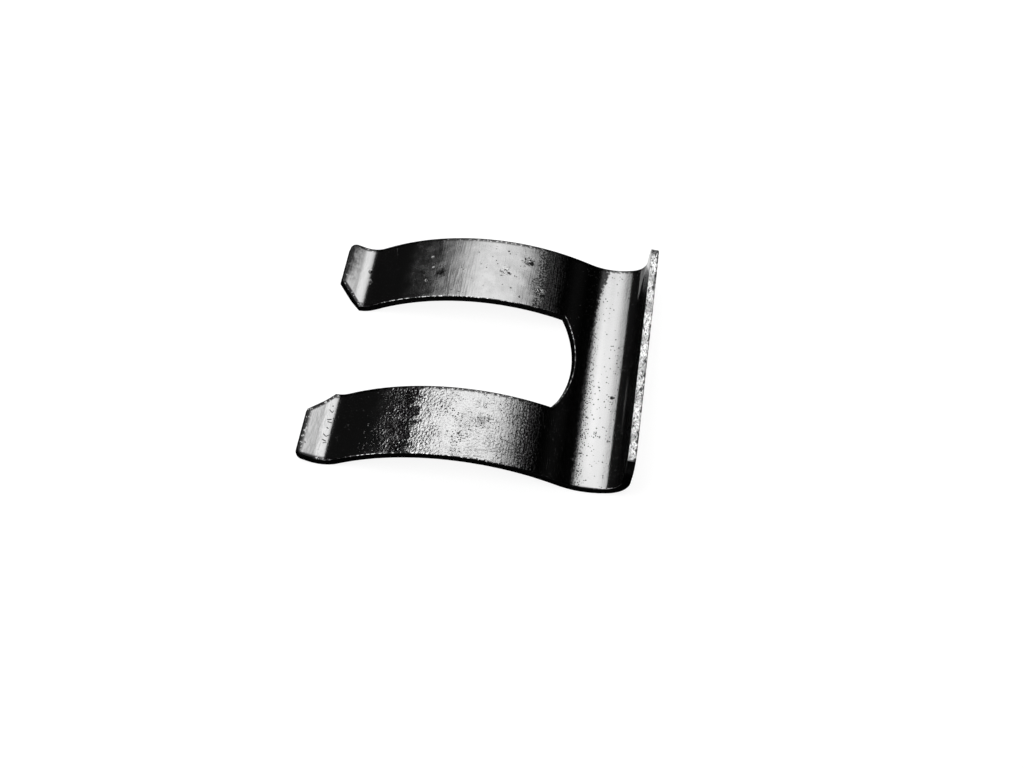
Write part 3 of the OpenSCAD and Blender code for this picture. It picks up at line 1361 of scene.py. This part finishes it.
    def painted_bow_shade(self, n: Skin, kept: Socket) -> Socket:
        """Paints shade over the end of the bow and the flange's inner face, broken up by flakes
        near the trough.

        Args:
            n: The skin's nodes.
            kept: Share of the tone that is left so far.

        Returns:
            The share that is left.
        """
        swept = n.times(n.sway(Grain.SWEPT), n.by_leg(0.7, 2.2))
        swept = n.total(n.station, swept, n.by_leg(-0.5, 0.3))
        # Painted shade over the end of the bow.
        past = n.times(n.ramp(swept, 21.6, 26.0), n.fall(n.station, 27.5, 30.0))
        # Painted shade on the flange bend and inner face, strongest at its far end, dimming the
        # floor's reflection there.
        sunk = n.times(n.ramp(n.station, 36.5, 38.0), n.ramp(n.across, 9.0, 11.0, 0.6, 0.9))
        kept = n.without(kept, n.most(past, sunk), self.bow_shade_share)
        flaked = n.ramp(n.grain(Grain.FLAKED), 0.47, 0.54, 0.85, -0.80)
        flaked = n.times(flaked, n.ramp(swept, 23.9, 25.0))
        return n.without(kept, flaked, n.fall(n.station, 27.0, 28.5))

    def painted_rim_highlight_and_chips(self, n: Skin, kept: Socket) -> Socket:
        """Paints a highlight on the upper rim along the legs by lightening its tone, and
        blackens chips along all the rims, which break that highlight up.

        Args:
            n: The skin's nodes.
            kept: Share of the tone that is left so far.

        Returns:
            The share that is left, which is above 1 on the painted rim highlight.
        """
        # Painted highlight: the tone of the upper rim is lightened along the legs.
        rim_highlight = n.times(n.ramp(n.station, 4.5, 7.5), n.fall(n.station, 30.2, 30.8))
        rim_highlight = n.times(n.rim, n.upper, n.between(rim_highlight, 1.0, self.rim_highlight_gain))
        bright = n.total(n.minus(1.0, n.rim), rim_highlight)
        kept = n.times(kept, n.most(bright, 0.0))
        chipped = n.ramp(n.grain(Grain.CHIPPED), 0.44, 0.52)
        return n.without(kept, n.times(n.rim, chipped), self.chipped_stain)

    def roughness(self, n: Skin) -> Socket:
        """Roughness of the skin, with the clouds of dried oil.

        Args:
            n: The skin's nodes.

        Returns:
            The roughness.
        """
        smear = n.times(
            n.ramp(n.grain(Grain.SMEAR), 0.25, 0.80, 0.15, 1.0),
            n.between(n.leg, 0.1, 1.0),
            n.between(n.coarse, 1.0, 0.5),
        )
        return n.math("MULTIPLY_ADD", smear, self.clouded - self.rough, self.rough)

    def material(self) -> bpy.types.Material:
        """Makes the material.

        Returns:
            The material.
        """
        n = Skin("rolled_spring_steel")
        pits = self.pitting(n)
        height = n.minus(self.relief(n), n.times(pits, self.pit_depth))
        height = n.total(height, n.times(self.beads(n), self.bead_height))
        kept = n.without(self.pits_and_painted_glints(n), pits, self.pit_stain)
        kept = n.without(kept, self.drawn(n), self.drawn_stain)
        height, kept = self.marked(n, height, kept)
        kept = self.toe_oil(n, kept)
        # Painted shade before the trough.
        kept = n.without(kept, self.shore(n), self.shore_shade_share)
        kept = n.without(kept, self.painted_edge_shade(n), self.edge_shade_share)
        kept = n.without(kept, self.film(n), self.film_stain)
        kept = self.painted_rim_highlight_and_chips(n, self.painted_bow_shade(n, kept))
        n.feed(n.shader.inputs["Roughness"], self.roughness(n))
        return n.finished(n.times(n.most(kept, self.darkest), self.tone), height)


@dataclass(frozen=True)
class ShearedSteel:
    """Torn face that the punch leaves along the edges, near-black on the walls as dark metal
    with painted shade, and bare on the flange's top.

    Attributes:
        dark: Tone of the walls, near-black: dark metal, and painted shade that keeps them dark
            where they mirror the white floor.
        bare: Tone of the bare metal.
        rough: Roughness.
        relief: Height of the torn grain, in mm.
        top: Station past which the metal is bare, in mm.
    """

    dark: float = 0.006
    bare: float = 0.80
    rough: float = 0.4
    relief: float = 0.06
    top: float = 41.5

    def material(self) -> bpy.types.Material:
        """Makes the material.

        Returns:
            The material.
        """
        n = Metal("sheared_spring_steel")
        n.shader.inputs["Roughness"].default_value = self.rough
        # A dark specular tint dims the walls' reflection of the floor: painted shade.
        n.shader.inputs["Specular Tint"].default_value = (0.02, 0.02, 0.02, 1.0)
        grain = n.grain(Grain.TORN)
        low = n.ramp(n.level, -0.1, -0.4, 0.0, 0.10)
        flecks = n.ramp(n.total(n.grain(Grain.FLECKS), low), 0.58, 0.64)
        bare = n.ramp(grain, 0.34, 0.62, 0.14, self.bare)
        bare = n.times(bare, n.ramp(n.grain(Grain.BARE_PATCHES), 0.35, 0.6, 0.6, 1.15))
        share = n.times(
            n.ramp(n.station, self.top - 0.3, self.top),
            n.ramp(n.across, -14.25, -14.0),
            n.ramp(n.across, 14.15, 14.5, 1.0, 0.25),
        )
        dark = n.ramp(grain, 0.35, 0.7, self.dark * 0.5, self.dark * 1.6)
        tone = n.total(dark, n.times(n.without(bare, flecks, 0.9), share))
        return n.finished(tone, n.times(grain, self.relief))


@dataclass
class Clip:
    """The clip, which replaces its plain solid.

    Attributes:
        strip: The flat strip.
        press: The press that bends it.
        rolled: Finish of the rolled skins.
        sheared: Finish of the sheared edges.
    """

    strip: StripMesh = field(default_factory=StripMesh)
    press: Press = field(default_factory=Press)
    rolled: RolledSteel = RolledSteel()
    sheared: ShearedSteel = ShearedSteel()

    def build(self) -> bpy.types.Object:
        """Returns:
            The finished piece.
        """
        flat = self.strip.build("clip_strip")
        piece = self.press.press(
            flat, "clip_strip", self.rolled.material(), self.sheared.material()
        )
        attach(piece, "root")
        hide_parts("clip")
        log.info("%s: %d faces", piece.name, len(piece.data.polygons))
        return piece


@dataclass(frozen=True)
class PaleFloor:
    """Plain pale floor, white to the camera and in reflections.

    Attributes:
        tone: Tone that light bounces from.
        glow: Strength of its plain white.
        shaded: How much of the lamps' light and shadow still shows in it.
        half_size: Half the length of its side, in metres.
    """

    tone: float = 0.8
    glow: float = 0.9
    shaded: float = 0.2
    half_size: float = 1.5

    def material(self) -> bpy.types.Material:
        """Makes the material.

        Returns:
            The material.
        """
        material = bpy.data.materials.new("pale_floor")
        material.use_nodes = True
        tree = material.node_tree
        tree.nodes.clear()
        n = Nodes(tree)
        path = n.add("ShaderNodeLightPath").outputs
        rays = ("Is Camera Ray", "Is Glossy Ray", "Is Transmission Ray")
        seen = n.most(*(path[ray] for ray in rays))
        bounce = n.add("ShaderNodeBsdfDiffuse")
        bounce.inputs["Color"].default_value = (self.tone, self.tone, self.tone, 1.0)
        glow = n.add("ShaderNodeEmission")
        glow.inputs["Strength"].default_value = self.glow
        faint = n.add("ShaderNodeBsdfDiffuse")
        faint.inputs["Color"].default_value = (self.shaded, self.shaded, self.shaded, 1.0)
        white = n.add("ShaderNodeAddShader", glow.outputs[0], faint.outputs[0])
        mix = n.add("ShaderNodeMixShader", seen, bounce.outputs[0], white.outputs[0])
        n.add("ShaderNodeOutputMaterial", mix.outputs[0])
        return material

    def build(self) -> bpy.types.Object:
        """Builds the floor under the clip.

        Returns:
            The floor.
        """
        h = self.half_size
        mesh = bpy.data.meshes.new("floor")
        mesh.from_pydata([(-h, -h, 0), (h, -h, 0), (h, h, 0), (-h, h, 0)], [], [(0, 1, 2, 3)])
        mesh.materials.append(self.material())
        floor = bpy.data.objects.new("floor", mesh)
        bpy.context.scene.collection.objects.link(floor)
        return floor


@dataclass(frozen=True)
class Softbox:
    """A soft rectangular lamp whose face fades out towards its sides.

    Attributes:
        name: What it is called.
        middle: Place of its middle, in metres.
        facing: Direction that it faces.
        across: Direction of its first side.
        size: Its two sides, in metres.
        radiance: How bright its face is, where 1 shows as white.
        fades: Share of half of its face over which each side fades out: the start and
            the end of the first side, then those of the second.
    """

    name: str
    middle: tuple[float, float, float]
    facing: tuple[float, float, float]
    across: tuple[float, float, float]
    size: tuple[float, float]
    radiance: float
    fades: tuple[float, float, float, float] = (0.2, 0.2, 0.2, 0.2)

    def shade(self, lamp: bpy.types.Light) -> None:
        """Gives the lamp's face its soft sides.

        Args:
            lamp: The lamp whose face it is.
        """
        lamp.use_nodes = True
        n = Nodes(lamp.node_tree)
        place = n.split(n.add("ShaderNodeNewGeometry").outputs["Parametric"])
        sides = []
        for at, (start, end) in zip(place, (self.fades[:2], self.fades[2:])):
            sides += [n.ramp(at, 0.0, start / 2), n.fall(at, 1.0 - end / 2, 1.0)]
        n.feed(lamp.node_tree.nodes["Emission"].inputs["Strength"], n.times(*sides))

    def build(self) -> bpy.types.Object:
        """Builds the lamp.

        Returns:
            The lamp, in its place.
        """
        lamp = bpy.data.lights.new(self.name, "AREA")
        lamp.shape = "RECTANGLE"
        lamp.size, lamp.size_y = self.size
        lamp.energy = self.radiance * math.pi * self.size[0] * self.size[1]
        self.shade(lamp)
        back = -Vector(self.facing).normalized()
        along = Vector(self.across).normalized()
        along = (along - back * along.dot(back)).normalized()
        turn = Matrix((along, back.cross(along), back)).transposed().to_4x4()
        holder = bpy.data.objects.new(self.name, lamp)
        holder.matrix_world = Matrix.Translation(self.middle) @ turn
        holder.visible_camera = False
        bpy.context.scene.collection.objects.link(holder)
        return holder


@dataclass
class Studio:
    """Floor, lamps and the room, which is dark but for a pale wall along its front.

    Attributes:
        floor: The floor.
        lamps: The lamps.
        room: Tone of the dark of the room.
        wall: Tone of the pale wall, and of what the camera sees past the floor.
        wall_front: Y of the directions between which the wall sets in towards the front.
        wall_top: Z of the directions between which it sets in downwards.
    """

    floor: PaleFloor = PaleFloor()
    lamps: tuple[Softbox, ...] = (
        Softbox(
            name="overhead",
            middle=(-0.1023, 0.2486, 0.2728),
            facing=(-0.6449, 0.1184, -0.7550),
            across=(0.7283, 0.3947, -0.5602),
            size=(0.3150, 0.5824),
            radiance=4.1,
            fades=(0.34, 0.532, 0.263, 1.708),
        ),
        Softbox(
            name="low_side",
            middle=(0.0321, 0.0602, 0.0874),
            facing=(0.3944, 0.0341, -0.9183),
            across=(0.9184, -0.0476, 0.3927),
            size=(0.0598, 0.1245),
            radiance=2.75,
            fades=(0.95, 0.25, 0.36, 0.30),
        ),
        Softbox(
            name="front_fill",
            middle=(-0.125, -0.070, 0.250),
            facing=(0.42, 0.22, -0.88),
            across=(1.0, 0.0, 0.48),
            size=(0.42, 0.16),
            radiance=3.0,
        ),
    )
    room: float = 0.018
    wall: float = 0.9
    wall_front: tuple[float, float] = (0.0, -0.35)
    wall_top: tuple[float, float] = (0.45, 0.05)

    def build(self) -> None:
        """Builds the studio."""
        self.floor.build()
        for lamp in self.lamps:
            lamp.build()
        world = bpy.data.worlds.new("room")
        world.use_nodes = True
        n = Nodes(world.node_tree)
        path = n.add("ShaderNodeLightPath").outputs
        _, y, z = n.split(n.add("ShaderNodeTexCoord").outputs["Generated"])
        wall = n.times(n.ramp(y, *self.wall_front), n.ramp(z, *self.wall_top))
        seen = n.most(path["Is Camera Ray"], n.times(path["Is Glossy Ray"], wall))
        tone = n.between(seen, self.room, self.wall)
        back = world.node_tree.nodes["Background"]
        n.feed(back.inputs["Color"], n.join(tone, tone, tone))
        bpy.context.scene.world = world
        bpy.context.scene.view_settings.view_transform = "Standard"


@dataclass(frozen=True)
class Viewpoint:
    """The camera.

    Attributes:
        place: Its place, in mm.
        azimuth: Angle round the clip, in degrees, with 0 looking along +Y.
        elevation: Angle above the floor, in degrees.
        roll: Turn about the line of sight, in degrees.
        focal_pixels: Focal length, in pixels of the image.
    """

    place: tuple[float, float, float] = (21.2055, -87.7162, 129.6590)
    azimuth: float = 11.598
    elevation: float = 55.983
    roll: float = -4.045
    focal_pixels: float = 1378.157

    def build(self) -> bpy.types.Object:
        """Builds the camera and makes it the scene's.

        Returns:
            The camera.
        """
        az, el, roll = (math.radians(a) for a in (self.azimuth, self.elevation, self.roll))
        back = Vector((math.sin(az) * math.cos(el), -math.cos(az) * math.cos(el), math.sin(el)))
        level = Vector((math.cos(az), math.sin(az), 0.0))
        over = back.cross(level)
        right = math.cos(roll) * level + math.sin(roll) * over
        up = -math.sin(roll) * level + math.cos(roll) * over
        lens = bpy.data.cameras.new("camera")
        lens.sensor_width = SENSOR_WIDTH
        lens.lens = self.focal_pixels * SENSOR_WIDTH / IMAGE_WIDTH
        lens.clip_start = 0.001
        lens.clip_end = 10.0
        camera = bpy.data.objects.new("camera", lens)
        turn = Matrix((right, up, back)).transposed().to_4x4()
        camera.matrix_world = Matrix.Translation(Vector(self.place) * MM) @ turn
        bpy.context.scene.collection.objects.link(camera)
        bpy.context.scene.camera = camera
        return camera


def main() -> None:
    """Builds the studio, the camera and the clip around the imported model."""
    logging.basicConfig(level=logging.INFO, format="%(name)s: %(message)s")
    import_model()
    Viewpoint().build()
    Studio().build()
    Clip().build()


if __name__ == "__main__":
    main()
